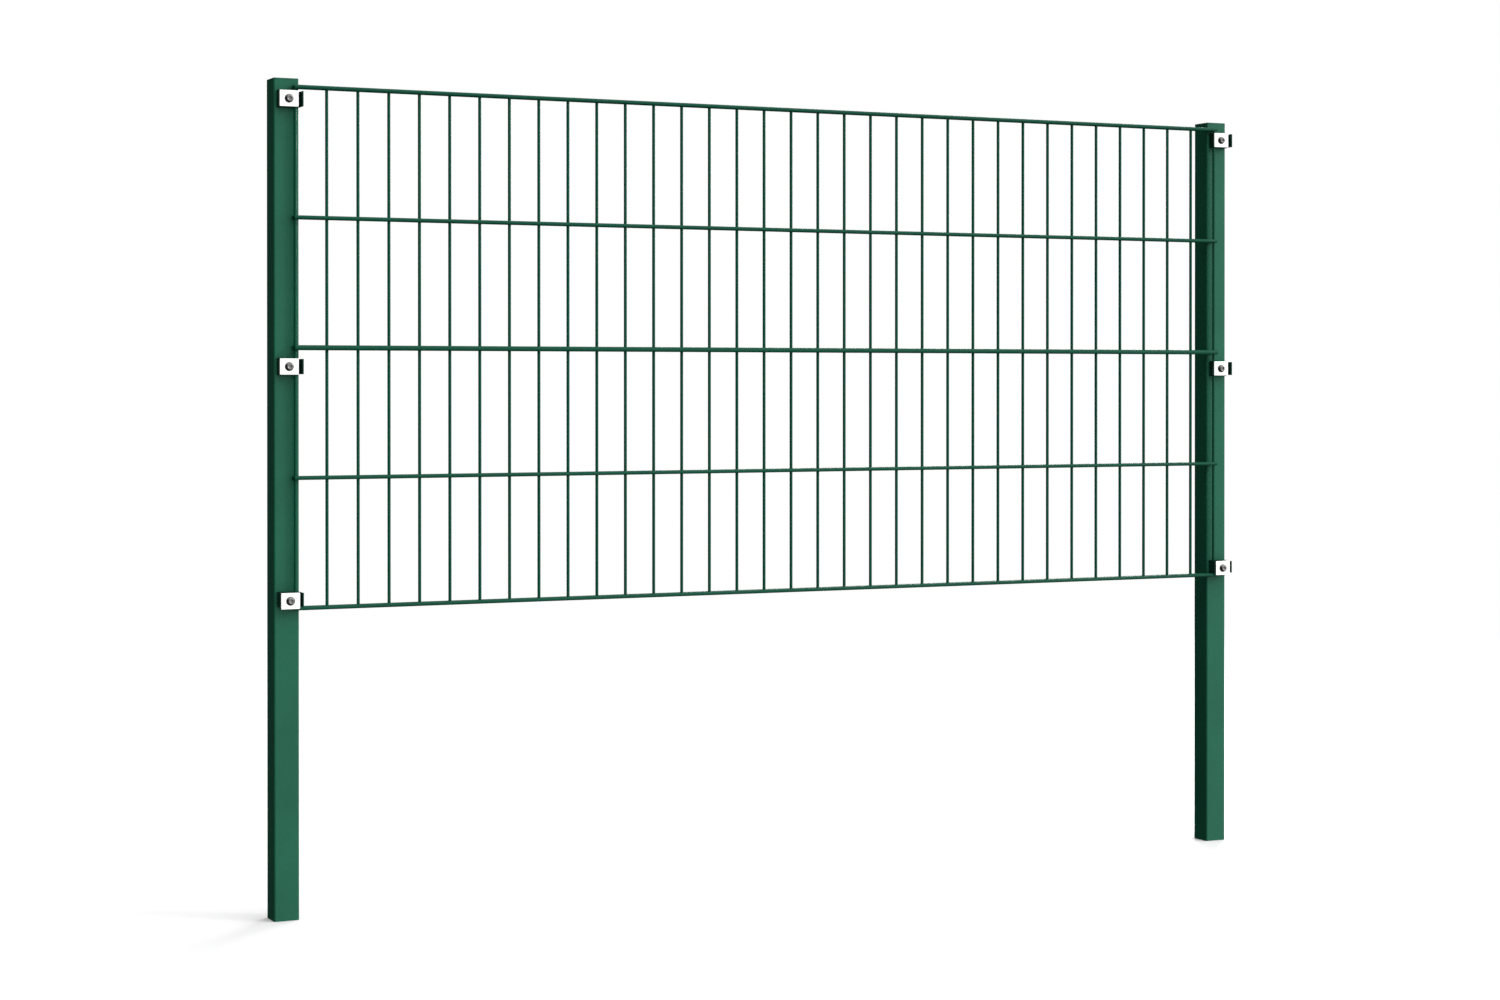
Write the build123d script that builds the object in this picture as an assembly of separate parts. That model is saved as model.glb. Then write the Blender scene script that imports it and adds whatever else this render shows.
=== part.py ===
from build123d import *
import os

# Welded double-wire fence panel, held on two square posts by six screw clamps.
# Millimetres. The origin is at the posts' feet, midway between the two posts, +X runs along
# the fence, +Z is up and -Y faces the side that the clamps are fitted from.

# Mesh panel
WIRE_PITCH = 50.0  # from one vertical wire to the next
WIRE_GAPS = 34  # columns of mesh between the two end wires
WIRES_PER_GROUP = 3  # vertical wires that share one node
VERTICAL_D = 5.0  # vertical wire
RAIL_PITCH = 200.0  # from one pair of rails to the next
RAIL_D = 6.0  # horizontal rail wire
STIFF_RAIL_D = 8.0  # stiffening rail: front wire of the middle pair
RAIL_OVERHANG = 3.0  # rail end past the end wire's axis
WIRE_END_CHAMFER = 0.4  # cut ends of all wires

# Posts
POST_W = 40.0  # square tube, along the fence
POST_DEPTH = 40.0  # square tube, across the fence
POST_WALL = 1.5
POST_CORNER_R = 3.0
POST_BELOW_RAIL = 481.0  # post's foot below the bottom rail's axis
POST_ABOVE_RAIL = 11.0  # tube's end above the top rail's axis
END_WIRE_INSET = 11.5  # end wire's axis from the post's centre line

# Post caps
CAP_T = 3.0  # flange on top of the tube
CAP_EDGE_R = 1.2
CAP_PLUG_LENGTH = 22.0
CAP_PLUG_WALL = 2.0
CAP_PLUG_CLEARANCE = 0.4  # plug to the tube's inside, each side
CAP_RIB_CLEARANCE = 0.05  # sealing ribs to the tube's inside, each side
CAP_RIB_H = 1.2
CAP_RIB_STEPS = (5.0, 11.0, 17.0)  # ribs' depths below the tube's end

# Clamps: a saddle behind a cover plate, pulled onto a rivet nut by one screw
PLATE_H = 25.0
SADDLE_MARGIN = 1.0  # saddle past the plate, above and below
GROOVE_WALL = 0.8  # saddle's wall outside each groove
CLAMP_GRIP = 0.3  # saddle stands proud of the wire it guards
TOP_CLAMP_GAP = 3.0  # top plate's upper edge below the top rail
MIDDLE_CLAMP_GAP = 12.5  # middle plate's upper edge below the middle rail
BOTTOM_CLAMP_DROP = 0.2  # bottom plate's lower edge below the bottom rail's axis
GROOVE_CLEARANCE = 0.2  # saddle's groove to the end wire, all round
NOTCH_CLEARANCE = 0.3  # saddle's notch to the rails' ends
SADDLE_WEB_T = 2.2  # floor that carries the side lip
SADDLE_CORNER_R = 0.8
SADDLE_EDGE = 0.25  # chamfer round both ends
LIP_H = 23.5
LIP_T = 2.15
LIP_CLEARANCE = 0.15  # lip to the post's side
LIP_FORWARD = 18.0  # lip in front of the post's face
LIP_BACK = 8.0  # lip along the post's side, which stops the saddle turning
PLATE_T = 4.5
PLATE_CORNER_R = 1.0
PLATE_EDGE = 0.3
PLATE_HOLE_CLEARANCE = 0.2  # screw in the plate, radially
SADDLE_HOLE_CLEARANCE = 0.5  # screw in the saddle, radially

# Screws, M8 button head, and their rivet nuts
SCREW_D = 8.0
SCREW_SHORT = 25.0  # top and middle clamps, under the head
SCREW_LONG = 30.0  # bottom clamps, under the head
SCREW_TIP = 1.0
HEAD_RIM = 3.0  # head past the shank
HEAD_H = 4.4
HEAD_LAND = 0.7  # straight rim under the dome
HEAD_TOP_D = 7.6  # flat round the socket
SOCKET_AF = 5.0
SOCKET_DEPTH = 2.8
THREAD_CLEARANCE = 0.05  # screw in the rivet nut, radially
NUT_WALL = 1.5
NUT_LENGTH = 17.0  # behind the post's face
NUT_FLANGE_RIM = 2.0  # flange past the nut's body
NUT_FLANGE_T = 1.5
NUT_BULGE_RIM = 1.3  # collar past the nut's body, set behind the post's wall
NUT_BULGE_LENGTH = 4.0
NUT_HOLE_CLEARANCE = 0.05  # nut in the post's wall, radially
NUT_SEAT_CLEARANCE = 0.3  # saddle's pocket round the nut's flange

RAIL_NAMES = ("bottom", "lower", "middle", "upper", "top")
POST_SIDES = {"left": -1, "right": 1}

PANEL_W = WIRE_PITCH * WIRE_GAPS
TOP_RAIL_Z = POST_BELOW_RAIL + RAIL_PITCH * (len(RAIL_NAMES) - 1)
MIDDLE_RAIL_Z = POST_BELOW_RAIL + RAIL_PITCH * RAIL_NAMES.index("middle")
POST_LENGTH = TOP_RAIL_Z + POST_ABOVE_RAIL
POST_X = PANEL_W / 2 + END_WIRE_INSET
POST_FACE_Y = -POST_DEPTH / 2

# Distances in front of the post's face, where the rear rails rest
WIRE_AXIS = RAIL_D + VERTICAL_D / 2
WIRE_FRONT = RAIL_D + VERTICAL_D
RAIL_FRONT = WIRE_FRONT + RAIL_D

GROOVE_R = VERTICAL_D / 2 + GROOVE_CLEARANCE
CLAMP_W = 2 * (END_WIRE_INSET + GROOVE_R + GROOVE_WALL)
SADDLE_H = PLATE_H + 2 * SADDLE_MARGIN
NUT_BODY_R = SCREW_D / 2 + NUT_WALL

CLAMPS = {
    "top": {
        "z": TOP_RAIL_Z - RAIL_D / 2 - TOP_CLAMP_GAP - PLATE_H / 2,
        "depth": WIRE_FRONT + CLAMP_GRIP,
        "screw": SCREW_SHORT,
    },
    "middle": {
        "z": MIDDLE_RAIL_Z - STIFF_RAIL_D / 2 - MIDDLE_CLAMP_GAP - PLATE_H / 2,
        "depth": WIRE_FRONT + CLAMP_GRIP,
        "screw": SCREW_SHORT,
    },
    "bottom": {
        "z": POST_BELOW_RAIL - BOTTOM_CLAMP_DROP + PLATE_H / 2,
        "depth": RAIL_FRONT + CLAMP_GRIP,
        "screw": SCREW_LONG,
    },
}

os.makedirs("parts", exist_ok=True)


def save(name, *solids):
    """Writes the solids of one node, each of them separate."""
    shape = solids[0] if len(solids) == 1 else Compound(children=list(solids))
    export_step(shape, f"parts/{name}.step")


def facing_front(shape):
    """Turns a shape drawn round +Z so that its +Z points forward, to -Y."""
    return Rot(90, 0, 0) * shape


def on_post(side, level, shape):
    """Places a shape drawn about a clamp's centre on the post's face."""
    return Pos(POST_SIDES[side] * POST_X, POST_FACE_Y, CLAMPS[level]["z"]) * shape


def turned(points):
    """A solid of revolution about Z from (radius, height) points."""
    profile = make_face(Polyline(*points, close=True))
    return revolve(Plane.XZ * profile, Axis.Z)


def plan(x_low, x_high, front_low, front_high):
    """A rectangle seen from above, given by its distances in front of the post's face."""
    centre = Pos((x_low + x_high) / 2, -(front_low + front_high) / 2)
    return centre * Rectangle(x_high - x_low, front_high - front_low)


def rail(diameter, front_axis, z):
    """One horizontal wire whose axis lies that far in front of the posts' face."""
    length = PANEL_W + 2 * RAIL_OVERHANG
    wire = Cylinder(diameter / 2, length)
    wire = chamfer(wire.edges().filter_by(GeomType.CIRCLE), WIRE_END_CHAMFER)
    return Pos(0, POST_FACE_Y - front_axis, z) * Rot(0, 90, 0) * wire


def vertical_wire(index):
    """Vertical wire number index, from the left, ending flush with the outer rails."""
    low = POST_BELOW_RAIL - RAIL_D / 2
    high = TOP_RAIL_Z + RAIL_D / 2
    wire = Cylinder(VERTICAL_D / 2, high - low)
    wire = chamfer(wire.edges().filter_by(GeomType.CIRCLE), WIRE_END_CHAMFER)
    return Pos(index * WIRE_PITCH - PANEL_W / 2, POST_FACE_Y - WIRE_AXIS, (low + high) / 2) * wire


def post():
    """Square tube, open at both ends, with a hole for each rivet nut in its front wall."""
    outside = RectangleRounded(POST_W, POST_DEPTH, POST_CORNER_R)
    inside = RectangleRounded(
        POST_W - 2 * POST_WALL, POST_DEPTH - 2 * POST_WALL, POST_CORNER_R - POST_WALL
    )
    tube = extrude(outside - inside, POST_LENGTH)
    hole = facing_front(Cylinder(NUT_BODY_R + NUT_HOLE_CLEARANCE, 3 * POST_WALL))
    for clamp in CLAMPS.values():
        tube -= Pos(0, POST_FACE_Y, clamp["z"]) * hole
    return tube


def post_cap():
    """Flange over the tube's end and a hollow ribbed plug inside it."""
    flange = extrude(RectangleRounded(POST_W, POST_DEPTH, POST_CORNER_R), CAP_T)
    flange = fillet(flange.faces().sort_by(Axis.Z)[-1].edges(), CAP_EDGE_R)

    def square(clearance):
        return RectangleRounded(
            POST_W - 2 * (POST_WALL + clearance),
            POST_DEPTH - 2 * (POST_WALL + clearance),
            max(POST_CORNER_R - POST_WALL - clearance, 0.3),
        )

    plug = extrude(square(CAP_PLUG_CLEARANCE), -CAP_PLUG_LENGTH)
    for depth in CAP_RIB_STEPS:
        plug += Pos(0, 0, -depth) * extrude(square(CAP_RIB_CLEARANCE), -CAP_RIB_H)
    plug -= extrude(square(CAP_PLUG_CLEARANCE + CAP_PLUG_WALL), -CAP_PLUG_LENGTH)
    return Pos(0, 0, POST_LENGTH) * (flange + plug)


def rivet_nut():
    """Threaded insert, set in the post's wall between its flange and its bulged collar."""
    bore = SCREW_D / 2 + THREAD_CLEARANCE
    body = NUT_BODY_R
    bulge = body + NUT_BULGE_RIM
    flange = body + NUT_FLANGE_RIM
    bulge_end = -POST_WALL - NUT_BULGE_LENGTH
    return facing_front(
        turned(
            [
                (bore, -NUT_LENGTH),
                (body, -NUT_LENGTH),
                (body, bulge_end),
                (bulge, bulge_end + NUT_BULGE_RIM / 2),
                (bulge, -POST_WALL),
                (body, -POST_WALL),
                (body, 0),
                (flange, 0),
                (flange, NUT_FLANGE_T),
                (bore, NUT_FLANGE_T),
            ]
        )
    )


def with_soft_ends(outline, height):
    """An outline seen from above, made that high about Z = 0, with both ends chamfered."""
    block = extrude(outline, height / 2, both=True)
    ends = block.faces().sort_by(Axis.Z)
    return chamfer(ends[0].edges() + ends[-1].edges(), SADDLE_EDGE)


def saddle(depth, rail_notch_top):
    """Moulded block with a groove for an end wire on each side and a lip round the post's side.

    rail_notch_top is the height, from the clamp's centre, up to which rails' ends pass through
    the saddle, or None where no rail reaches it.
    """
    lip_low = POST_W / 2 + LIP_CLEARANCE
    lip_high = lip_low + LIP_T
    outline = plan(-CLAMP_W / 2, CLAMP_W / 2, 0, depth)
    outline = fillet(outline.vertices().group_by(Axis.Y)[0], SADDLE_CORNER_R)
    for x in (-END_WIRE_INSET, END_WIRE_INSET):
        outline -= plan(x - GROOVE_R, x + GROOVE_R, WIRE_AXIS, depth)
        outline -= Pos(x, -WIRE_AXIS) * Circle(GROOVE_R)
    lip = plan(CLAMP_W / 2 - GROOVE_WALL, lip_high, 0, SADDLE_WEB_T)
    lip += plan(lip_low, lip_high, -LIP_BACK, LIP_FORWARD)
    lip = fillet(lip.vertices().group_by(Axis.Y)[0], SADDLE_CORNER_R)
    block = with_soft_ends(outline, SADDLE_H) + with_soft_ends(lip, LIP_H)
    block -= facing_front(Cylinder(SCREW_D / 2 + SADDLE_HOLE_CLEARANCE, 3 * depth))
    pocket = NUT_FLANGE_T + NUT_SEAT_CLEARANCE
    pocket_r = NUT_BODY_R + NUT_FLANGE_RIM + NUT_SEAT_CLEARANCE
    block -= facing_front(Cylinder(pocket_r, 2 * pocket))
    if rail_notch_top is not None:
        reach = END_WIRE_INSET - RAIL_OVERHANG - NOTCH_CLEARANCE
        height = rail_notch_top + SADDLE_H / 2
        for low, high in ((-lip_high - 1, -reach), (reach, lip_high + 1)):
            slot = Box(high - low, 3 * depth, 2 * height)
            block -= Pos((low + high) / 2, 0, -SADDLE_H / 2) * slot
    return block


def cover_plate(depth):
    """Small flat plate over the saddle, which holds the wires in their grooves."""
    plate = extrude(RectangleRounded(CLAMP_W, PLATE_H, PLATE_CORNER_R), PLATE_T)
    plate = chamfer(plate.faces().sort_by(Axis.Z)[-1].edges(), PLATE_EDGE)
    plate -= Cylinder(SCREW_D / 2 + PLATE_HOLE_CLEARANCE, 3 * PLATE_T)
    return facing_front(Pos(0, 0, depth) * plate)


def screw(depth, length):
    """Button-head screw with a hexagon socket, its head on the cover plate."""
    shank = SCREW_D / 2
    head = shank + HEAD_RIM
    top = HEAD_TOP_D / 2
    middle = ((head + top) / 2 + 0.45, (HEAD_LAND + HEAD_H) / 2 + 0.45)
    outline = Polyline(
        (top, HEAD_H),
        (0, HEAD_H),
        (0, -length),
        (shank - SCREW_TIP, -length),
        (shank, -length + SCREW_TIP),
        (shank, 0),
        (head, 0),
        (head, HEAD_LAND),
    )
    outline += ThreePointArc((head, HEAD_LAND), middle, (top, HEAD_H))
    body = revolve(Plane.XZ * make_face(outline), Axis.Z)
    socket = extrude(RegularPolygon(SOCKET_AF / 2, 6, major_radius=False), -SOCKET_DEPTH)
    body -= Pos(0, 0, HEAD_H) * socket
    return facing_front(Pos(0, 0, depth + PLATE_T) * body)


# Panel
for number, rail_name in enumerate(RAIL_NAMES):
    rail_z = POST_BELOW_RAIL + number * RAIL_PITCH
    front_d = STIFF_RAIL_D if rail_name == "middle" else RAIL_D
    save(f"{rail_name}_rail_front", rail(front_d, WIRE_FRONT + front_d / 2, rail_z))
    save(f"{rail_name}_rail_rear", rail(RAIL_D, RAIL_D / 2, rail_z))

save("left_end_wire", vertical_wire(0))
save("right_end_wire", vertical_wire(WIRE_GAPS))
inner_wires = [vertical_wire(index) for index in range(1, WIRE_GAPS)]
for number, first in enumerate(range(0, len(inner_wires), WIRES_PER_GROUP), start=1):
    save(f"vertical_wires_{number:02d}", *inner_wires[first : first + WIRES_PER_GROUP])

# Posts and their caps
for side, sign in POST_SIDES.items():
    save(f"{side}_post", Pos(sign * POST_X, 0, 0) * post())
    save(f"{side}_post_cap", Pos(sign * POST_X, 0, 0) * post_cap())

# Clamps
for side in POST_SIDES:
    for level, clamp in CLAMPS.items():
        notch_top = None
        if level == "bottom":
            notch_top = POST_BELOW_RAIL + RAIL_D / 2 + NOTCH_CLEARANCE - clamp["z"]
        name = f"{side}_{level}"
        save(f"{name}_rivet_nut", on_post(side, level, rivet_nut()))
        save(f"{name}_clamp_saddle", on_post(side, level, saddle(clamp["depth"], notch_top)))
        save(f"{name}_clamp_plate", on_post(side, level, cover_plate(clamp["depth"])))
        save(f"{name}_clamp_screw", on_post(side, level, screw(clamp["depth"], clamp["screw"])))
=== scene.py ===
"""Looks of a welded wire fence panel that six screw clamps hold on two square posts.

Metres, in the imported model's own frame: +X along the fence, +Z up, -Y the side the clamps are on.
"""

import math

import bmesh
import bpy
import numpy as np
from bpy.props import FloatProperty, FloatVectorProperty, PointerProperty
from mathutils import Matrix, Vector


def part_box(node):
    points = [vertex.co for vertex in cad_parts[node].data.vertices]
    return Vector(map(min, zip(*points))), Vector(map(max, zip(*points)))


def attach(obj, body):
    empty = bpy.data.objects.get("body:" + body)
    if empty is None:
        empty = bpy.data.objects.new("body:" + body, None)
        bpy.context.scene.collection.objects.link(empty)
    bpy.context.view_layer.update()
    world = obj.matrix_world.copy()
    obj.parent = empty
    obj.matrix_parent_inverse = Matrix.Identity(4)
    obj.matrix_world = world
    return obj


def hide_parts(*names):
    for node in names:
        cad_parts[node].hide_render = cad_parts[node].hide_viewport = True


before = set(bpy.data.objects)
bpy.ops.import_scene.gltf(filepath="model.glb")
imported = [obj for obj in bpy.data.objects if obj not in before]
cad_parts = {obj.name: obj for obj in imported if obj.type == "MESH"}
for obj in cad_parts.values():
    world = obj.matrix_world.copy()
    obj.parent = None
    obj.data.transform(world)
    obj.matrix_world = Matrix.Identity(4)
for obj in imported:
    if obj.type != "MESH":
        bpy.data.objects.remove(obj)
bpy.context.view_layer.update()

bl_info = {
    "name": "Wire fence panel",
    "version": (1, 0, 0),
    "blender": (4, 5, 0),
    "location": "View3D > Sidebar > Fence",
    "description": "Welds, clamp hardware and finishes of a welded wire fence panel on two posts",
    "category": "Object",
}

MM = 0.001
SIDES = ("left", "right")
CLAMP_LEVELS = ("top", "middle", "bottom")
RAIL_LEVELS = ("bottom", "lower", "middle", "upper", "top")
CLAMPS = [f"{side}_{level}" for side in SIDES for level in CLAMP_LEVELS]
RAILS = [f"{level}_rail_{row}" for level in RAIL_LEVELS for row in ("front", "rear")]
UPRIGHTS = [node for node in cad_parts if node.startswith("vertical_wires") or "end_wire" in node]
X, Y, Z = range(3)

WIRE_GLOSS = 0.13  # specular level of the wires' coat
CLOSE_RING = 0.03 * MM  # a second ring this close to a socket's edge keeps its flats flat
DRAWN_LINES = 0.02 * MM  # depth of the lines that drawing leaves along a wire

# The studio's two broad lights: the direction of the middle of each, and the cosines from it at
# which the light starts and at which it is full.
FRONT_LIGHT = (Vector((0.65, -0.72, 0.25)).normalized(), 0.06, 0.72)
ZENITH_LIGHT = (Vector((0.0, 0.0, 1.0)), 0.45, 0.95)


# ---------------------------------------------------------------------------------------------
# Sizes and colours that a user would change
# ---------------------------------------------------------------------------------------------


def millimetres(name, default, description):
    """A length property in metres, given in millimetres."""
    return FloatProperty(
        name=name, default=default * MM, min=0.0, precision=5, unit="LENGTH", description=description
    )


def metres(name, default, description):
    """A length property in metres."""
    return FloatProperty(name=name, default=default, unit="LENGTH", description=description)


def degrees(name, default, description):
    """An angle property, given in degrees."""
    return FloatProperty(
        name=name, default=math.radians(default), subtype="ANGLE", description=description
    )


def place(name, default, description):
    """A point in metres."""
    return FloatVectorProperty(
        name=name, default=default, size=3, subtype="TRANSLATION", description=description
    )


def amount(name, default, description, most=1000.0):
    """A plain number that isn't negative."""
    return FloatProperty(name=name, default=default, min=0.0, max=most, description=description)


def colour(name, default, description):
    """A linear colour property."""
    return FloatVectorProperty(
        name=name, default=default, size=3, min=0.0, max=1.0, subtype="COLOR", description=description
    )


class WeldSizes(bpy.types.PropertyGroup):
    """Collar of coated weld metal where a vertical wire crosses a rail."""

    waist: millimetres("Waist", 1.75, "Radius of the collar halfway between the two wires")
    flare: millimetres("Flare", 2.3, "Radius where the collar runs out on the wires")
    core: millimetres("Core", 0.9, "Radius of the collar's hidden inner wall")
    bite: millimetres("Bite", 0.08, "How far the collar's rims sink into the wires")
    spread: amount("Spread", 0.1, "How much the collars differ in size", 0.3)


class PlateSizes(bpy.types.PropertyGroup):
    """Stamped cover plate of a clamp."""

    corner: millimetres("Corner", 1.1, "Radius of the plate's corners")
    edge: millimetres("Edge", 0.45, "Radius of the tumbled front edge")
    crown: millimetres("Crown", 0.12, "How much the edges fall back from the middle")
    hole: millimetres("Hole", 4.2, "Radius of the screw's hole")
    hole_break: millimetres("Hole's edge", 0.2, "Broken edge round the hole, in front")
    back_break: millimetres("Back edge", 0.15, "Broken edge round the back")


class ScrewSizes(bpy.types.PropertyGroup):
    """Button-head screw with a hexagon socket."""

    shank: millimetres("Shank", 4.0, "Radius of the shank over the thread's crests")
    pitch: millimetres("Pitch", 1.25, "Thread's pitch")
    thread_depth: millimetres("Thread depth", 0.68, "Crest to root")
    plain_neck: millimetres("Plain neck", 2.0, "Shank without thread under the head")
    socket: millimetres("Socket", 5.0, "Hexagon socket across its flats")
    socket_depth: millimetres("Socket depth", 2.6, "Depth of the socket's flats")
    socket_cone: millimetres("Socket cone", 0.9, "Drilled cone under the socket's flats")
    socket_mouth: millimetres("Socket mouth", 0.33, "Depth of the chamfer round the socket's mouth")
    rim: millimetres("Rim", 0.7, "Straight rim under the dome")
    flat: millimetres("Flat", 4.2, "Radius of the flat round the socket")
    fullness: amount("Fullness", 0.42, "How full the dome's shoulder is", 1.0)
    head_break: millimetres("Head's edge", 0.25, "Broken edge under the head")
    neck: millimetres("Neck", 0.4, "Fillet between the head and the shank")
    tip: millimetres("Tip", 1.0, "Length of the tapered tip")


class FinishColours(bpy.types.PropertyGroup):
    """Colours of the finishes, linear."""

    coat: colour("Post coat", (0.0095, 0.112, 0.063), "Green powder coat of the posts")
    wire: colour("Wire coat", (0.001, 0.066, 0.036), "Darker green coat of the panel's wires")
    cap: colour("Caps", (0.006, 0.075, 0.043), "Plastic of the post caps")
    saddle: colour("Saddles", (0.002, 0.031, 0.019), "Plastic of the clamp saddles")
    plate: colour("Cover plates", (0.93, 0.93, 0.92), "Pale brushed stainless steel")
    screw: colour("Screws", (0.22, 0.217, 0.214), "Darker bare stainless steel")
    zinc: colour("Zinc", (0.62, 0.62, 0.6), "Rivet nuts")


class StudioSizes(bpy.types.PropertyGroup):
    """Floor, lights and camera."""

    floor_radius: metres("Floor radius", 9.0, "Radius of the floor")
    floor_solid: metres("Solid floor", 1.6, "Radius out to which the floor is solid")
    floor: colour("Floor", (0.86, 0.86, 0.86), "Pale matt floor")
    backdrop: colour("Backdrop", (1.0, 1.0, 1.0), "What lies behind the fence")
    ambient: amount("Ambient", 0.035, "Even light from all round")
    front: amount("Front", 1.3, "Broad light from the front, on the right")
    zenith: amount("Zenith", 1.2, "Light from straight above")
    key: amount("Key", 250.0, "Softbox in front on the right, watts")
    key_place: place("Key's place", (7.0, -6.2, 5.0), "Where the front softbox stands")
    key_size: metres("Key's size", 3.2, "Side of the front softbox")
    back: amount("Back", 180.0, "Softbox behind on the right, watts")
    back_place: place("Back's place", (3.4, 4.0, 2.6), "Where the softbox behind stands")
    back_size: metres("Back's size", 2.4, "Side of the softbox behind")
    aim: place("Aim", (0.0, 0.0, 0.75), "What both softboxes point at")
    distance: metres("Distance", 4.654, "Camera to the fence's middle")
    eye: metres("Eye", 0.832, "Camera above the posts' feet")
    stand: degrees("Stand", 26.39, "Where the camera stands, round to the left of straight on")
    turn: degrees("Turn", 25.70, "Where the camera looks, turned to the right of straight on")
    dip: degrees("Dip", 0.28, "How far the camera looks down")
    lens: amount("Lens", 66.63, "Focal length on a 36 mm wide sensor")
    rise: FloatProperty(name="Rise", default=-0.0712, description="Camera's vertical shift")


# ---------------------------------------------------------------------------------------------
# Surfaces
# ---------------------------------------------------------------------------------------------


def surface(name, points, sharp_degrees=None):
    """A mesh from a stack of grids.

    points has the shape (copies, rings, round, 3). Each ring is closed, so the last point of a
    ring joins the first. The ring order is closed too where the first and last ring agree, which
    merging their points does, and a ring that shrinks to one point becomes a pole the same way.
    """
    copies, rings, around = points.shape[:3]
    index = np.arange(copies * rings * around).reshape(copies, rings, around)
    here, on = index[:, :-1], index[:, 1:]
    quads = np.stack([here, np.roll(here, -1, 2), np.roll(on, -1, 2), on], axis=-1).reshape(-1, 4)
    mesh = bpy.data.meshes.new(name)
    mesh.vertices.add(index.size)
    mesh.vertices.foreach_set("co", points.astype(np.float32).ravel())
    mesh.loops.add(quads.size)
    mesh.loops.foreach_set("vertex_index", quads.astype(np.int32).ravel())
    mesh.polygons.add(len(quads))
    mesh.polygons.foreach_set("loop_start", np.arange(0, quads.size, 4, dtype=np.int32))
    mesh.update(calc_edges=True)
    work = bmesh.new()
    work.from_mesh(mesh)
    bmesh.ops.remove_doubles(work, verts=work.verts, dist=0.002 * MM)
    bmesh.ops.recalc_face_normals(work, faces=work.faces)
    work.to_mesh(mesh)
    work.free()
    mesh.polygons.foreach_set("use_smooth", np.ones(len(mesh.polygons), dtype=bool))
    if sharp_degrees is not None:
        mesh.set_sharp_from_angle(angle=math.radians(sharp_degrees))
    mesh.update()
    piece = bpy.data.objects.new(name, mesh)
    bpy.context.scene.collection.objects.link(piece)
    return piece


def facing_front(x, forward, z):
    """Points from their place seen from the front and their distance forward, towards -Y."""
    x, forward, z = np.broadcast_arrays(x, forward, z)
    return np.stack([x, -forward, z], axis=-1)


def weld_collars(contacts, wire_r, rail_r, sizes, seed):
    """Rings round the contact points of the vertical wires with one rail.

    contacts holds (x, y, z, side) rows, where side is -1 if the rail lies in front, at -Y. At an
    angle f round the contact and a distance d from it, the vertical wire falls back from the
    contact by R - sqrt(R^2 - (d cos f)^2) with its radius R, and the rail by
    r - sqrt(r^2 - (d sin f)^2) with its radius r. The ring's outline runs from the wire at the
    flare, in to the waist halfway, out to the flare on the rail, and back inside the wires.
    """
    around = np.linspace(0, 2 * math.pi, 12, endpoint=False)
    reach = np.array([sizes.flare, sizes.waist, sizes.flare, sizes.core, sizes.core, sizes.flare])
    on_wire = np.array([1.0, 0.5, 0.0, 0.0, 1.0, 1.0])
    swell = 1 + sizes.spread * np.random.default_rng(seed).uniform(-1, 1, len(contacts))
    swell = np.minimum(swell, 0.97 * wire_r / sizes.flare)
    reach = reach[None, :, None] * swell[:, None, None]
    share = on_wire[None, :, None]
    along = reach * np.cos(around)
    up = reach * np.sin(around)
    from_wire = wire_r - np.sqrt(wire_r**2 - along**2) + sizes.bite
    from_rail = rail_r - np.sqrt(rail_r**2 - up**2) + sizes.bite
    toward_rail = from_rail * (1 - share) - from_wire * share
    x, y, z, side = (contacts[:, column, None, None] for column in range(4))
    return np.stack([x + along, y + side * toward_rail, z + up], axis=-1)


def rounded_rectangle(width, height, corner, per_corner=7, per_side=6):
    """Points round a rectangle with arcs for corners, and the outward direction at each point.

    A corner's point is its centre plus the corner radius times (cos a, sin a), and the straight
    sides are filled in evenly between the corners.
    """
    quarter = np.linspace(0, math.pi / 2, per_corner)
    turns = np.arange(4) * math.pi / 2
    angle = (turns[:, None] + quarter).ravel()
    sign_x = np.repeat([1, -1, -1, 1], per_corner)
    sign_z = np.repeat([1, 1, -1, -1], per_corner)
    arc = np.stack([np.cos(angle), np.sin(angle)], axis=-1)
    centre = np.stack([sign_x * (width / 2 - corner), sign_z * (height / 2 - corner)], axis=-1)
    points = (centre + corner * arc).reshape(4, per_corner, 2)
    outward = arc.reshape(4, per_corner, 2)
    step = (np.arange(per_side) + 1)[None, :, None] / (per_side + 1)
    last, first = points[:, -1:], np.roll(points[:, :1], -1, axis=0)
    sides = last * (1 - step) + first * step
    side_out = np.repeat(outward[:, -1:], per_side, axis=1)
    points = np.concatenate([points, sides], axis=1).reshape(-1, 2)
    outward = np.concatenate([outward, side_out], axis=1).reshape(-1, 2)
    return points, outward


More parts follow.
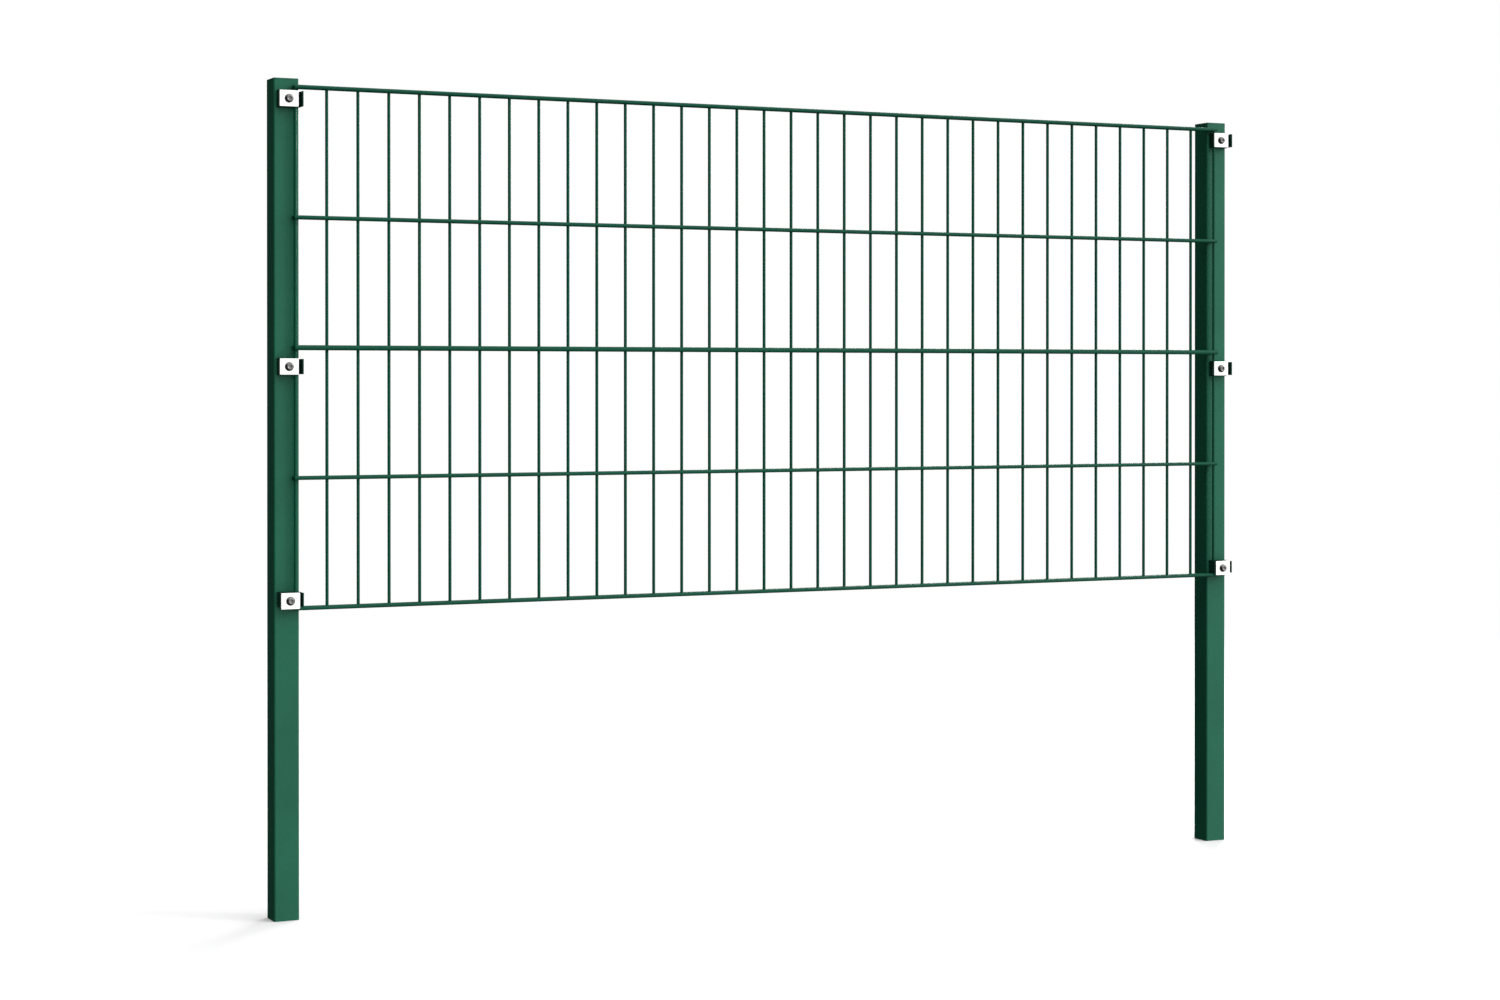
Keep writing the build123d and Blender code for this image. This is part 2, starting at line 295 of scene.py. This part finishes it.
def plate_points(centre, width, height, thickness, sizes):
    """Closed shell of one cover plate as rings from its hole round to its hole again.

    The front face runs from the hole to the outline in even steps and falls back by the crown
    times the square of the way gone. The front edge is a quarter circle, the back edge a small
    chamfer.
    """
    outline, outward = rounded_rectangle(width, height, sizes.corner)
    angle = np.arctan2(outline[:, 1], outline[:, 0])
    hole = sizes.hole * np.stack([np.cos(angle), np.sin(angle)], axis=-1)
    inner = outline - sizes.edge * outward
    even = np.ones(len(outline))
    way = np.linspace(0, 1, 7)[:, None, None]
    face = (hole * (1 + sizes.hole_break / sizes.hole)) * (1 - way) + inner * way
    face_rise = (thickness - sizes.crown * way[..., 0] ** 2) * even
    turn = np.linspace(0, math.pi / 2, 5)[1:, None]
    edge = inner + sizes.edge * np.sin(turn)[..., None] * outward
    edge_rise = thickness - sizes.crown - sizes.edge * (1 - np.cos(turn)) * even
    back = np.stack([outline, outline - sizes.back_break * outward, hole, hole])
    back_rise = np.array([sizes.back_break, 0.0, 0.0, thickness - sizes.hole_break])[:, None] * even
    rings = np.concatenate([face, edge, back, face[:1]])
    rise = np.concatenate([face_rise, edge_rise, back_rise, face_rise[:1]])
    points = facing_front(rings[..., 0], rise, rings[..., 1])
    return (points + np.array(centre))[None]


def screw_points(centre, head_r, head_h, shank_length, sizes):
    """Closed shell of one screw as rings from the middle of its socket round to its tip.

    A socket ring's radius at angle a is that of a hexagon: half the flats' width over the cosine
    of a's distance from the nearest flat's middle. The dome goes from the flat to the rim, between
    a straight cone and a quarter ellipse by its fullness, and the thread's radius follows a
    triangle wave of (height / pitch + a / full turn).
    """
    around = np.linspace(0, 2 * math.pi, 48, endpoint=False)
    hexagon = sizes.socket / 2 / np.cos(np.mod(around, math.pi / 3) - math.pi / 6)
    corner = sizes.socket / 2 / math.cos(math.pi / 6)
    floor = head_h - sizes.socket_depth
    mouth = head_h - sizes.socket_mouth
    socket = np.array([0.0, 0.55, 1.0, 1.0, 1.0, 1.0])[:, None] * hexagon
    socket_h = [floor - sizes.socket_cone, floor - 0.39 * sizes.socket_cone]
    socket_h += [floor, floor + CLOSE_RING, mouth - CLOSE_RING, mouth]

    way = np.linspace(0, 1, 10)[1:]
    turn = way * math.pi / 2
    across = way + sizes.fullness * (np.sin(turn) - way)
    down = way + sizes.fullness * (1 - np.cos(turn) - way)
    dome = sizes.flat + (head_r - sizes.flat) * across
    dome_h = head_h - (head_h - sizes.rim) * down
    head = [corner + 0.3 * MM, sizes.flat, *dome, head_r, head_r - sizes.head_break]
    head += [sizes.shank + sizes.neck, sizes.shank]
    head_heights = [head_h, head_h, *dome_h, sizes.head_break, 0.0, 0.0, -sizes.neck]

    threaded = shank_length - sizes.plain_neck
    steps = int(round(8 * threaded / sizes.pitch))
    thread_h = np.linspace(-sizes.plain_neck, -shank_length, steps + 1)
    from_neck = -sizes.plain_neck - thread_h[:, None]
    from_tip = thread_h[:, None] + shank_length
    fade = np.minimum(1, np.minimum(from_neck / sizes.pitch, from_tip / sizes.pitch + 0.25))
    wave = np.abs(2 * np.mod(thread_h[:, None] / sizes.pitch + around / (2 * math.pi), 1) - 1)
    groove = sizes.thread_depth * fade * np.clip(1.25 * wave - 0.12, 0, 1)
    thread = sizes.shank - groove - 0.9 * np.maximum(0, sizes.tip - from_tip)

    even = np.ones_like(around)
    radius = np.concatenate([socket, np.array(head)[:, None] * even, thread, 0 * even[None]])
    height = np.concatenate([socket_h, head_heights, thread_h, [-shank_length]])[:, None]
    points = facing_front(radius * np.cos(around), height, radius * np.sin(around))
    return (points + np.array(centre))[None]


# ---------------------------------------------------------------------------------------------
# Finishes
# ---------------------------------------------------------------------------------------------


class Finish:
    """A material with a Principled shader and a short way to add nodes to it."""

    def __init__(self, name):
        self.material = bpy.data.materials.new(name)
        self.material.use_nodes = True
        self.nodes = self.material.node_tree.nodes
        self.links = self.material.node_tree.links
        self.shader = self.nodes["Principled BSDF"]
        self.coordinates = self.nodes.new("ShaderNodeTexCoord").outputs["Object"]

    def set(self, **values):
        """Sets the shader's own sockets, with _ for a space in their names."""
        for name, value in values.items():
            self.shader.inputs[name.replace("_", " ")].default_value = value

    def noise(self, scale, detail=2.0, stretch=(1.0, 1.0, 1.0), roughness=0.5):
        """Noise of that many features a metre, closer together along an axis with more stretch."""
        mapping = self.nodes.new("ShaderNodeMapping")
        mapping.inputs["Scale"].default_value = stretch
        self.links.new(self.coordinates, mapping.inputs["Vector"])
        noise = self.nodes.new("ShaderNodeTexNoise")
        noise.inputs["Scale"].default_value = scale
        noise.inputs["Detail"].default_value = detail
        noise.inputs["Roughness"].default_value = roughness
        self.links.new(mapping.outputs["Vector"], noise.inputs["Vector"])
        return noise.outputs["Fac"]

    def between(self, factor, low, high, from_low=0.3, from_high=0.7):
        """A number that goes from low to high as the factor does."""
        node = self.nodes.new("ShaderNodeMapRange")
        limits = {"From Min": from_low, "From Max": from_high, "To Min": low, "To Max": high}
        for name, value in limits.items():
            node.inputs[name].default_value = value
        self.links.new(factor, node.inputs["Value"])
        return node.outputs["Result"]

    def blend(self, factor, low, high):
        """A colour between two by a factor: sockets 6 and 7 are the mix node's colours, 2 its result."""
        node = self.nodes.new("ShaderNodeMix")
        node.data_type = "RGBA"
        self.links.new(factor, node.inputs["Factor"])
        for socket, value in ((node.inputs[6], low), (node.inputs[7], high)):
            if isinstance(value, bpy.types.NodeSocket):
                self.links.new(value, socket)
            else:
                socket.default_value = (*value, 1.0)
        return node.outputs[2]

    def bump(self, height, distance, strength, normal=None):
        """Relief of that depth in metres, on top of another one if given."""
        node = self.nodes.new("ShaderNodeBump")
        node.inputs["Distance"].default_value = distance
        node.inputs["Strength"].default_value = strength
        self.links.new(height, node.inputs["Height"])
        if normal is not None:
            self.links.new(normal, node.inputs["Normal"])
        return node.outputs["Normal"]

    def drive(self, name, output):
        """Feeds a socket of the shader."""
        self.links.new(output, self.shader.inputs[name])


def powder_coat(name, base, gloss, along, line_depth):
    """Satin powder coat over lines along the steel: orange peel, and thin and thick patches."""
    finish = Finish(name)
    finish.set(IOR=1.5, Specular_IOR_Level=gloss)
    thin = tuple(1.2 * value for value in base)
    thick = tuple(0.84 * value for value in base)
    patches = finish.between(finish.noise(9.0, 3.0), 0.0, 1.0)
    fine = finish.between(finish.noise(420.0, 2.0), 0.0, 0.35)
    tint = finish.blend(patches, tuple(base), thin)
    finish.drive("Base Color", finish.blend(fine, tint, thick))
    finish.drive("Roughness", finish.between(finish.noise(60.0, 4.0), 0.38, 0.52))
    stretch = [1.0, 1.0, 1.0]
    stretch[along] = 0.012
    relief = finish.bump(finish.noise(1400.0, 2.0, stretch), line_depth, 0.4)
    relief = finish.bump(finish.noise(750.0, 2.0), 0.03 * MM, 0.45, relief)
    relief = finish.bump(finish.noise(2600.0, 1.0), 0.006 * MM, 0.5, relief)
    finish.drive("Normal", relief)
    return finish.material


def moulded_plastic(name, base, grain):
    """Moulded plastic with a spark-eroded grain and faint flow marks."""
    finish = Finish(name)
    finish.set(IOR=1.46, Specular_IOR_Level=0.2)
    light = tuple(min(1.0, 1.5 * value) for value in base)
    flow = finish.between(finish.noise(45.0, 3.0, (1.0, 1.0, 0.35)), 0.0, 1.0)
    finish.drive("Base Color", finish.blend(flow, base, light))
    finish.drive("Roughness", finish.between(finish.noise(grain / 3, 3.0), 0.42, 0.62))
    finish.drive("Normal", finish.bump(finish.noise(grain, 3.0), 0.04 * MM, 0.6))
    return finish.material


def brushed_stainless(name, base, along):
    """Stainless steel brushed one way, with a few deeper lines and handling marks."""
    finish = Finish(name)
    finish.set(Metallic=1.0)
    stretch = [1.0, 1.0, 1.0]
    stretch[along] = 0.03
    lines = finish.noise(2600.0, 3.0, stretch)
    marks = finish.between(finish.noise(140.0, 3.0), 0.0, 1.0, 0.45, 0.75)
    dull = tuple(0.87 * value for value in base)
    finish.drive("Base Color", finish.blend(marks, base, dull))
    finish.drive("Roughness", finish.between(lines, 0.26, 0.42))
    finish.drive("Normal", finish.bump(lines, 0.006 * MM, 0.3))
    return finish.material


def turned_steel(name, base):
    """Cold-headed steel: nearly smooth, with a soft grey bloom."""
    finish = Finish(name)
    finish.set(Metallic=1.0)
    bloom = finish.between(finish.noise(320.0, 4.0), 0.0, 1.0)
    dull = tuple(0.72 * value for value in base)
    finish.drive("Base Color", finish.blend(bloom, base, dull))
    finish.drive("Roughness", finish.between(finish.noise(900.0, 2.0), 0.2, 0.36))
    finish.drive("Normal", finish.bump(finish.noise(2400.0, 2.0), 0.008 * MM, 0.5))
    return finish.material


def coat_nodes(material, names):
    """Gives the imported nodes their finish."""
    for name in names:
        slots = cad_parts[name].data.materials
        slots.clear()
        slots.append(material)


def middle(name):
    """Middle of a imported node's box and its size."""
    low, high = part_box(name)
    low, high = np.array(low), np.array(high)
    return (low + high) / 2, high - low


# ---------------------------------------------------------------------------------------------
# Operators
# ---------------------------------------------------------------------------------------------


class FENCE_OT_coat_steel(bpy.types.Operator):
    """Powder coats the posts, the rails and the vertical wires"""

    bl_idname = "fence.coat_steel"
    bl_label = "Coat the steel"

    def execute(self, context):
        colours = context.scene.fence_colours
        posts = powder_coat("post_coat", colours.coat, 0.18, Z, 0.01 * MM)
        rails = powder_coat("rail_coat", colours.wire, WIRE_GLOSS, X, DRAWN_LINES)
        uprights = powder_coat("upright_coat", colours.wire, WIRE_GLOSS, Z, DRAWN_LINES)
        coat_nodes(posts, [f"{side}_post" for side in SIDES])
        coat_nodes(rails, RAILS)
        coat_nodes(uprights, UPRIGHTS)
        return {"FINISHED"}


class FENCE_OT_weld_crossings(bpy.types.Operator):
    """Adds a collar of coated weld metal at every crossing of a vertical wire and a rail"""

    bl_idname = "fence.weld_crossings"
    bl_label = "Weld the crossings"

    def execute(self, context):
        sizes = context.scene.fence_welds
        coat = powder_coat("weld_coat", context.scene.fence_colours.wire, WIRE_GLOSS, Y, DRAWN_LINES)
        left, wire_size = middle("left_end_wire")
        right, _ = middle("right_end_wire")
        group_width = middle("vertical_wires_01")[1][X]
        pitch = (group_width - wire_size[X]) / 2
        count = int(round((right[X] - left[X]) / pitch)) + 1
        wires_x = np.linspace(left[X], right[X], count)
        wire_r = wire_size[Y] / 2
        for seed, rail in enumerate(RAILS):
            centre, size = middle(rail)
            side = -1.0 if rail.endswith("front") else 1.0
            contacts = np.column_stack(
                [
                    wires_x,
                    np.full(count, left[Y] + side * wire_r),
                    np.full(count, centre[Z]),
                    np.full(count, side),
                ]
            )
            points = weld_collars(contacts, wire_r, size[Y] / 2, sizes, seed)
            piece = surface(f"{rail}_welds", points)
            piece.data.materials.append(coat)
            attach(piece, "root")
        return {"FINISHED"}


class FENCE_OT_mould_plastics(bpy.types.Operator):
    """Gives the post caps and the clamp saddles their plastics"""

    bl_idname = "fence.mould_plastics"
    bl_label = "Mould the caps and saddles"

    def execute(self, context):
        colours = context.scene.fence_colours
        caps = moulded_plastic("cap_plastic", tuple(colours.cap), 900.0)
        saddles = moulded_plastic("saddle_plastic", tuple(colours.saddle), 1300.0)
        coat_nodes(caps, [f"{side}_post_cap" for side in SIDES])
        coat_nodes(saddles, [f"{clamp}_clamp_saddle" for clamp in CLAMPS])
        return {"FINISHED"}


class FENCE_OT_stamp_plates(bpy.types.Operator):
    """Builds the six cover plates with tumbled edges and a brushed face"""

    bl_idname = "fence.stamp_plates"
    bl_label = "Stamp the cover plates"

    def execute(self, context):
        sizes = context.scene.fence_plates
        steel = brushed_stainless("plate_steel", tuple(context.scene.fence_colours.plate), X)
        for clamp in CLAMPS:
            node = f"{clamp}_clamp_plate"
            centre, size = middle(node)
            back = centre + np.array([0.0, size[Y] / 2, 0.0])
            points = plate_points(back, size[X], size[Z], size[Y], sizes)
            piece = surface(f"{clamp}_cover_plate", points, sharp_degrees=50)
            piece.data.materials.append(steel)
            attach(piece, f"{clamp}_plate")
            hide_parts(node)
        return {"FINISHED"}


class FENCE_OT_turn_screws(bpy.types.Operator):
    """Builds the six button-head screws with their sockets and threads"""

    bl_idname = "fence.turn_screws"
    bl_label = "Turn the clamp screws"

    def execute(self, context):
        sizes = context.scene.fence_screws
        steel = turned_steel("screw_steel", tuple(context.scene.fence_colours.screw))
        for clamp in CLAMPS:
            node = f"{clamp}_clamp_screw"
            centre, size = middle(node)
            plate_centre, plate_size = middle(f"{clamp}_clamp_plate")
            seat_y = plate_centre[Y] - plate_size[Y] / 2
            head_h = seat_y - (centre[Y] - size[Y] / 2)
            shank_length = size[Y] - head_h
            seat = np.array([centre[X], seat_y, centre[Z]])
            points = screw_points(seat, size[X] / 2, head_h, shank_length, sizes)
            piece = surface(f"{clamp}_button_screw", points, sharp_degrees=38)
            piece.data.materials.append(steel)
            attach(piece, f"{clamp}_screw")
            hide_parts(node)
        return {"FINISHED"}


class FENCE_OT_plate_nuts(bpy.types.Operator):
    """Gives the rivet nuts their zinc"""

    bl_idname = "fence.plate_nuts"
    bl_label = "Plate the rivet nuts"

    def execute(self, context):
        zinc = turned_steel("nut_zinc", tuple(context.scene.fence_colours.zinc))
        coat_nodes(zinc, [f"{clamp}_rivet_nut" for clamp in CLAMPS])
        return {"FINISHED"}


class FENCE_OT_set_studio(bpy.types.Operator):
    """Lays the floor, sets the softboxes and stands the camera up"""

    bl_idname = "fence.set_studio"
    bl_label = "Set the studio"

    def execute(self, context):
        scene = context.scene
        studio = scene.fence_studio
        lay_floor(studio)
        light_world(scene, studio)
        softbox("key_softbox", studio.key_place, studio.aim, studio.key_size, studio.key)
        softbox("back_softbox", studio.back_place, studio.aim, studio.back_size, studio.back)
        stand_camera(scene, studio)
        scene.view_settings.view_transform = "Standard"
        return {"FINISHED"}


def lay_floor(studio):
    """A disc as rings of radius floor times the square of an even step, under the posts' feet.

    Its finish thins out to nothing before its edge, so that it shows no rim.
    """
    around = np.linspace(0, 2 * math.pi, 64, endpoint=False)
    radius = studio.floor_radius * np.linspace(0, 1, 12)[:, None] ** 2
    foot_z = float(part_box("left_post")[0][Z])
    x, y, z = np.broadcast_arrays(radius * np.cos(around), radius * np.sin(around), foot_z)
    floor = surface("studio_floor", np.stack([x, y, z], axis=-1)[None])
    if floor.data.polygons[0].normal.z < 0:
        floor.data.flip_normals()
    finish = Finish("studio_floor")
    finish.set(Roughness=0.65, IOR=1.3)
    tint = finish.between(finish.noise(1.2, 3.0), 0.0, 1.0)
    low = tuple(0.985 * value for value in studio.floor)
    finish.drive("Base Color", finish.blend(tint, low, tuple(studio.floor)))
    fade_end = 0.55 * studio.floor_radius
    distance = finish.nodes.new("ShaderNodeVectorMath")
    distance.operation = "LENGTH"
    finish.links.new(finish.coordinates, distance.inputs[0])
    solid = finish.between(distance.outputs["Value"], 1.0, 0.0, studio.floor_solid, fade_end)
    finish.drive("Alpha", solid)
    floor.data.materials.append(finish.material)
    floor.visible_diffuse = False
    floor.visible_glossy = False


def light_world(scene, studio):
    """A plain backdrop that only the camera sees, and a softer light that the fence is lit by.

    The light is even, plus one light from the front right and one from above, each a smooth step
    of the cosine between the direction and its own middle.
    """
    world = bpy.data.worlds.new("studio")
    world.use_nodes = True
    scene.world = world
    nodes, links = world.node_tree.nodes, world.node_tree.links
    shown = nodes["Background"]
    shown.inputs["Color"].default_value = (*studio.backdrop, 1.0)
    direction = nodes.new("ShaderNodeTexCoord").outputs["Generated"]
    total = None
    for (towards, start, full), strength in (
        (FRONT_LIGHT, studio.front),
        (ZENITH_LIGHT, studio.zenith),
    ):
        cosine = nodes.new("ShaderNodeVectorMath")
        cosine.operation = "DOT_PRODUCT"
        cosine.inputs[1].default_value = towards
        links.new(direction, cosine.inputs[0])
        step = nodes.new("ShaderNodeMapRange")
        step.interpolation_type = "SMOOTHSTEP"
        step.inputs["From Min"].default_value = start
        step.inputs["From Max"].default_value = full
        step.inputs["To Max"].default_value = strength
        links.new(cosine.outputs["Value"], step.inputs["Value"])
        add = nodes.new("ShaderNodeMath")
        add.inputs[1].default_value = studio.ambient
        links.new(step.outputs["Result"], add.inputs[0])
        if total is not None:
            links.new(total, add.inputs[1])
        total = add.outputs["Value"]
    lit = nodes.new("ShaderNodeBackground")
    lit.inputs["Color"].default_value = (1.0, 1.0, 1.0, 1.0)
    links.new(total, lit.inputs["Strength"])
    mix = nodes.new("ShaderNodeMixShader")
    path = nodes.new("ShaderNodeLightPath")
    links.new(path.outputs["Is Camera Ray"], mix.inputs["Fac"])
    links.new(lit.outputs["Background"], mix.inputs[1])
    links.new(shown.outputs["Background"], mix.inputs[2])
    links.new(mix.outputs["Shader"], nodes["World Output"].inputs["Surface"])


def softbox(name, stand, aim, size, watts):
    """A square area light that points at aim."""
    data = bpy.data.lights.new(name, "AREA")
    data.shape = "SQUARE"
    data.size = size
    data.energy = watts
    light = bpy.data.objects.new(name, data)
    light.location = stand
    light.rotation_euler = (Vector(aim) - Vector(stand)).to_track_quat("-Z", "Y").to_euler()
    bpy.context.scene.collection.objects.link(light)


def stand_camera(scene, studio):
    """Stands the camera in front of the fence, off to the left of its middle."""
    posts = [middle(f"{side}_post")[0] for side in SIDES]
    centre = (posts[0] + posts[1]) / 2
    data = bpy.data.cameras.new("camera")
    data.sensor_width = 36.0
    data.lens = studio.lens
    data.shift_y = studio.rise
    camera = bpy.data.objects.new("camera", data)
    camera.location = (
        centre[X] - studio.distance * math.sin(studio.stand),
        centre[Y] - studio.distance * math.cos(studio.stand),
        studio.eye,
    )
    camera.rotation_euler = (math.pi / 2 - studio.dip, 0.0, -studio.turn)
    scene.collection.objects.link(camera)
    scene.camera = camera


class FENCE_PT_panel(bpy.types.Panel):
    """Lists the steps in the 3D view's sidebar"""

    bl_idname = "FENCE_PT_panel"
    bl_label = "Wire fence panel"
    bl_space_type = "VIEW_3D"
    bl_region_type = "UI"
    bl_category = "Fence"

    def draw(self, context):
        for step in STEPS:
            self.layout.operator(step.bl_idname)
        for name in SETTINGS:
            group = getattr(context.scene, name)
            box = self.layout.box()
            for key in group.bl_rna.properties.keys():
                if key not in ("rna_type", "name"):
                    box.prop(group, key)


STEPS = (
    FENCE_OT_set_studio,
    FENCE_OT_coat_steel,
    FENCE_OT_weld_crossings,
    FENCE_OT_mould_plastics,
    FENCE_OT_stamp_plates,
    FENCE_OT_turn_screws,
    FENCE_OT_plate_nuts,
)
SETTINGS = {
    "fence_welds": WeldSizes,
    "fence_plates": PlateSizes,
    "fence_screws": ScrewSizes,
    "fence_colours": FinishColours,
    "fence_studio": StudioSizes,
}


def register():
    for name, group in SETTINGS.items():
        bpy.utils.register_class(group)
        setattr(bpy.types.Scene, name, PointerProperty(type=group))
    for shown in (*STEPS, FENCE_PT_panel):
        bpy.utils.register_class(shown)


def unregister():
    for shown in (FENCE_PT_panel, *reversed(STEPS)):
        bpy.utils.unregister_class(shown)
    for name, group in reversed(SETTINGS.items()):
        delattr(bpy.types.Scene, name)
        bpy.utils.unregister_class(group)


def main():
    """Registers the add-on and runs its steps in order."""
    register()
    for step in STEPS:
        family, name = step.bl_idname.split(".")
        getattr(getattr(bpy.ops, family), name)()


if __name__ == "__main__":
    main()
